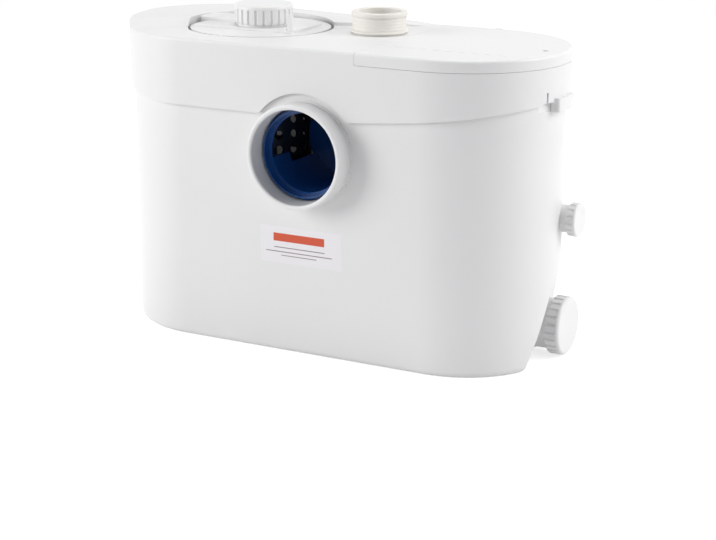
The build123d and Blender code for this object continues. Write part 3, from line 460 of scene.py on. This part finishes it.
# Discharge sleeve. One soft cream moulding, pushed into the lid: a foot with an undercut edge, a body with
# faint ridges for the hose clamp, a waist, a lip and a wide mouth that narrows to the bore.
cream_rubber = finish("cream_rubber", (0.80, 0.775, 0.725), 0.5, colour_share=0.06, cloud_scale=30.0,
                      grain_scale=2200.0, grain_depth=0.00003)
sleeve_low, sleeve_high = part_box("discharge_sleeve")
sleeve_middle = (sleeve_low + sleeve_high) / 2
sleeve_radius = 0.02625
ridge_low, ridge_high = 0.0040, 0.0158
ridge_pitch = 0.00295
ridge_depth = 0.00012

# The profile, as (radius, height): foot, ridged body, waist, lip, mouth. The body's radius is its middle
# radius less the ridges' depth times a cosine of the height, with one period a ridge.
body_height = np.linspace(ridge_low, ridge_high, 49)
body_radius = sleeve_radius - ridge_depth * np.cos((body_height - ridge_low) / ridge_pitch * 2 * np.pi)
sleeve_profile = np.concatenate([
    [[0.0160, 0.0], [0.0250, 0.0], [0.0252, 0.0012]],
    bend(0.0270, 0.0019, 0.0005, -90, 0, 4), bend(0.0267, 0.0027, 0.0008, 0, 90, 5),
    np.stack([body_radius, body_height], -1),
    bend(0.0262, 0.0166, 0.0005, -90, -180, 5), [[0.0257, 0.0176]],
    bend(0.0269, 0.0178, 0.0006, -90, 0, 4), bend(0.0259, 0.0199, 0.0016, 0, 90, 8),
    bend(0.0222, 0.0205, 0.0010, 90, 180, 6), [[0.0207, 0.0100]],
    bend(0.0190, 0.0085, 0.0010, 0, -60, 4), [[0.0160, 0.0060]]])
sleeve = upright(lathe(sleeve_profile), sleeve_middle.x, sleeve_middle.y, sleeve_low.z)
add_piece("ridged_sleeve", sleeve, cream_rubber, "housing", "cream_rubber", "discharge_sleeve", loops=True)

# Throat behind the collar. A deep blue moulding, snapped to the inside of the front wall: a ring with a
# flange, and a blind tube that is open on its upper left. Two pieces complete it: the left half of its end
# wall, and a strip of its side wall that stands on the opening's sill.
blue_plastic = finish("blue_plastic", (0.0075, 0.062, 0.235), 0.2, colour_share=0.08, specular=0.45)
dress(blue_plastic, "inlet_scoop")
throat_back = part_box("inlet_scoop")[1].y
throat_radius = 0.042
throat_x, throat_z = 0.0091, 0.1997
throat_sill = 0.0317
throat_wall = 0.004
end_wall = 0.003
side_run = 0.048


def end_half(levels=49, columns=13, top=1.565):
    """The left half of the round end wall, as level sections that close on themselves. At height z above the
    middle a section runs from the middle line out to sqrt(radius squared - z squared). The sections go from
    the sill to just short of the quarter turn at the top, in radians, where their width would be nothing."""
    height = throat_radius * np.sin(np.linspace(-math.asin(throat_sill / throat_radius), top, levels))
    reach = np.sqrt(throat_radius ** 2 - height ** 2)[:, None]
    across = throat_x - reach * np.linspace(0, 1, columns)
    x = np.concatenate([across, across[:, ::-1]], 1)
    y = np.concatenate([0 * across + throat_back - end_wall, 0 * across + throat_back], 1)
    return np.stack([x, y, throat_z + height[:, None] + 0 * x], -1)


def side_strip(first=208, count=15):
    """The strip of the tube's wall on the sill. Its section is a rectangle of the wall's thickness by the run
    along Y, turned about the tube's axis from the first angle, in degrees. Each face turns on to where its
    own circle meets the level of the sill."""
    share = np.linspace(0, 1, count)[:, None]
    radius = throat_radius - throat_wall * np.array([0, 0, 1, 1])
    last = 180 + np.degrees(np.arcsin(throat_sill / radius))
    turn = np.radians(first + (last - first) * share)
    y = throat_back - end_wall - side_run * np.array([0, 1, 1, 0])
    return np.stack([throat_x + radius * np.cos(turn), y + 0 * turn, throat_z + radius * np.sin(turn)], -1)


add_piece("throat_end", end_half(), blue_plastic, "housing", "blue_plastic")
add_piece("throat_side", side_strip(), blue_plastic, "housing", "blue_plastic")

# Guard, motor can and pump. The perforated guard that hangs under the round plate, the motor's sealed can,
# the volute and the impeller are moulded in a dark plastic of low gloss, and the waste water wets them.
dark_plastic = finish("dark_plastic", (0.020, 0.026, 0.042), 0.42, colour_share=0.2, cloud_scale=20.0)
dress(dark_plastic, "switch_guard", "motor_can", "pump_volute", "impeller")

# Air chamber and dip tube of the level switch. Both are moulded in a pale grey plastic. The rising water
# shuts air in the tube, and its pressure lifts the diaphragm.
pale_plastic = finish("pale_plastic", (0.34, 0.35, 0.37), 0.45, colour_share=0.06)
dress(pale_plastic, "dip_tube", "level_head")

# Non-return valve, riser, switch with its bridge, terminals and gland. They are moulded in grey nylon, a
# little rough from the glass fibre in it.
grey_nylon = finish("grey_nylon", (0.27, 0.28, 0.30), 0.5, colour_share=0.08, cloud_scale=25.0,
                    grain_scale=1500.0, grain_depth=0.00003)
dress(grey_nylon, "valve_body", "discharge_pipe", "switch_bridge", "microswitch", "terminal_block",
      "cable_gland")

# Plunger of the level switch. It is moulded in natural acetal, white and smooth, and slides in the bridge
# between the diaphragm and the switch.
acetal = finish("acetal", (0.62, 0.63, 0.62), 0.35, colour_share=0.04)
dress(acetal, "level_plunger")


# Turned and ground steel. The shaft, blades, slotted ring, bearings and strap are machined, so fine marks
# run round the upright axis and the gloss breaks into short streaks.
def streak_group():
    """Node group: streaks that are long across and short upwards. The height of Object coordinates is
    stretched before the noise, whose value swings the colour and the roughness and gives a height."""
    group = bpy.data.node_groups.new("machined_surface", "ShaderNodeTree")
    for socket, kind, value in (
        ("Colour", "NodeSocketColor", (0.6, 0.6, 0.6, 1)),
        ("Roughness", "NodeSocketFloat", 0.3),
        ("Streak scale", "NodeSocketFloat", 60.0),
        ("Streak stretch", "NodeSocketFloat", 30.0),
    ):
        group.interface.new_socket(socket, in_out="INPUT", socket_type=kind).default_value = value
    group.interface.new_socket("Colour", in_out="OUTPUT", socket_type="NodeSocketColor")
    group.interface.new_socket("Roughness", in_out="OUTPUT", socket_type="NodeSocketFloat")
    group.interface.new_socket("Height", in_out="OUTPUT", socket_type="NodeSocketFloat")
    new, link = group.nodes.new, group.links.new
    given, made = new("NodeGroupInput"), new("NodeGroupOutput")
    place, split = new("ShaderNodeTexCoord"), new("ShaderNodeSeparateXYZ")
    stretch, join = new("ShaderNodeMath"), new("ShaderNodeCombineXYZ")
    stretch.operation = "MULTIPLY"
    link(place.outputs["Object"], split.inputs[0])
    link(split.outputs["X"], join.inputs["X"])
    link(split.outputs["Y"], join.inputs["Y"])
    link(split.outputs["Z"], stretch.inputs[0])
    link(given.outputs["Streak stretch"], stretch.inputs[1])
    link(stretch.outputs[0], join.inputs["Z"])
    streak = new("ShaderNodeTexNoise")
    streak.inputs["Detail"].default_value = 4.0
    link(join.outputs[0], streak.inputs["Vector"])
    link(given.outputs["Streak scale"], streak.inputs["Scale"])
    shade, gloss = new("ShaderNodeMapRange"), new("ShaderNodeMapRange")
    for swing, least, most in ((shade, 0.78, 1.12), (gloss, 0.65, 1.45)):
        swing.inputs["To Min"].default_value = least
        swing.inputs["To Max"].default_value = most
        link(streak.outputs["Fac"], swing.inputs["Value"])
    tint, rough = new("ShaderNodeVectorMath"), new("ShaderNodeMath")
    tint.operation, rough.operation = "SCALE", "MULTIPLY"
    link(given.outputs["Colour"], tint.inputs[0])
    link(shade.outputs[0], tint.inputs["Scale"])
    link(given.outputs["Roughness"], rough.inputs[0])
    link(gloss.outputs[0], rough.inputs[1])
    link(tint.outputs[0], made.inputs["Colour"])
    link(rough.outputs[0], made.inputs["Roughness"])
    link(streak.outputs["Fac"], made.inputs["Height"])
    return group


machined_surface = streak_group()


def machined(name, colour, roughness, scale, stretch, depth, metallic=1.0):
    """A machined or stacked finish, from the machined_surface group."""
    values = {"Colour": (*colour, 1), "Roughness": roughness, "Streak scale": scale,
              "Streak stretch": stretch}
    return surfaced(name, machined_surface, values, depth, metallic)


turned_steel = machined("turned_steel", (0.56, 0.56, 0.57), 0.27, 40.0, 40.0, 0.00002)
dress(turned_steel, "motor_shaft", "cutter_blades", "grinding_ring", "lower_bearing", "upper_bearing",
      "capacitor_clip")

# Stator and rotor. Stacks of punched iron sheets half a millimetre thick, varnished dark: the stack shows as
# fine level lines.
sheet_iron = machined("sheet_iron", (0.115, 0.11, 0.105), 0.45, 4.0, 190.0, 0.00006, metallic=0.8)
dress(sheet_iron, "stator", "rotor")

# End bell and capacitor. The bell is die-cast aluminium with a satin skin, and the capacitor's can is drawn
# aluminium.
cast_aluminium = finish("cast_aluminium", (0.60, 0.61, 0.62), 0.42, colour_share=0.12, roughness_share=0.5,
                        cloud_scale=40.0, grain_scale=1400.0, grain_depth=0.00006, metallic=1.0)
dress(cast_aluminium, "motor_bell", "capacitor")

# Label. A thin printed sheet of clear-edged film, stuck on the sloping front under the collar. Its print is a
# generic one: a warm bar and three grey rules.
label_left, label_right = -0.040, 0.049
label_low, label_high = 0.090, 0.126
front_foot, front_lean, front_height = 0.0935, 0.004, 0.282
film = 0.00012
ink_edge = 0.00012
warm_ink = (0.62, 0.075, 0.022)
grey_ink = (0.26, 0.20, 0.195)

# Each printed shape: its ends along X, its ends along Z, its ink.
prints = (
    ((-0.0254, 0.0300), (0.1115, 0.1195), warm_ink),
    ((-0.0246, 0.0303), (0.1050, 0.1059), grey_ink),
    ((-0.0338, 0.0383), (0.1007, 0.1016), grey_ink),
    ((-0.0169, 0.0214), (0.0973, 0.0981), grey_ink),
)


def label_sheet(columns=61, rows=25):
    """A sheet on the tank's front, as rows that run round it. At height z the front stands at
    y = -(foot + lean * z / height). One face lies a film's thickness before it and one just inside it."""
    across = np.linspace(label_left, label_right, columns)
    x, z = np.meshgrid(across, np.linspace(label_low, label_high, rows))
    front = -(front_foot + front_lean * z / front_height)
    outer = np.stack([x, front - film, z], -1)
    inner = np.stack([x, front + film / 4, z], -1)
    return np.concatenate([outer, inner[:, ::-1]], 1)


def printed(tree, axes, across, upwards, ink, under):
    """Lays a rectangle of ink over a colour. Its mask is the product of four steps, one at each side."""
    steps = []
    for axis, (low, high) in (("X", across), ("Z", upwards)):
        for side, inwards in ((low, ink_edge), (high, -ink_edge)):
            step = tree.nodes.new("ShaderNodeMapRange")
            step.inputs["From Min"].default_value = side - inwards
            step.inputs["From Max"].default_value = side + inwards
            tree.links.new(axes.outputs[axis], step.inputs["Value"])
            steps.append(step.outputs[0])
    mask = steps[0]
    for step in steps[1:]:
        product = tree.nodes.new("ShaderNodeMath")
        product.operation = "MULTIPLY"
        tree.links.new(mask, product.inputs[0])
        tree.links.new(step, product.inputs[1])
        mask = product.outputs[0]
    laid = tree.nodes.new("ShaderNodeMix")
    laid.data_type = "RGBA"
    laid.inputs["B"].default_value = (*ink, 1)
    tree.links.new(mask, laid.inputs["Factor"])
    tree.links.new(under, laid.inputs["A"])
    return laid.outputs["Result"]


white_film = finish("white_film", (0.84, 0.825, 0.84), 0.3, colour_share=0.02)
film_tree = white_film.node_tree
film_place = film_tree.nodes.new("ShaderNodeTexCoord")
film_axes = film_tree.nodes.new("ShaderNodeSeparateXYZ")
film_tree.links.new(film_place.outputs["Object"], film_axes.inputs[0])
film_shader = film_tree.nodes["Principled BSDF"]
film_colour = film_shader.inputs["Base Color"].links[0].from_socket
for across, upwards, ink in prints:
    film_colour = printed(film_tree, film_axes, across, upwards, ink, film_colour)
film_tree.links.new(film_colour, film_shader.inputs["Base Color"])
add_piece("front_label", label_sheet(), white_film, "housing", "white_plastic")

# Nub on the lid. A small rounded bump at the front of the plate's recess, longer from side to side and
# moulded in one with the lid.
nub_place = (-0.094, -0.0752, lid_top)
nub_radius = 0.0016
nub_rise = 0.0011
nub_sink = 0.0004
nub_length_share = 1.9
tilt = np.linspace(0, np.pi / 2, 10)
nub_profile = np.concatenate([
    [[0.0, -nub_sink], [nub_radius, -nub_sink]],
    np.stack([nub_radius * np.cos(tilt), nub_rise * np.sin(tilt)], -1)])
nub = lathe(nub_profile, 48) * np.array([nub_length_share, 1, 1])
add_piece("lid_nub", upright(nub, *nub_place), white_plastic, "housing", "white_plastic")
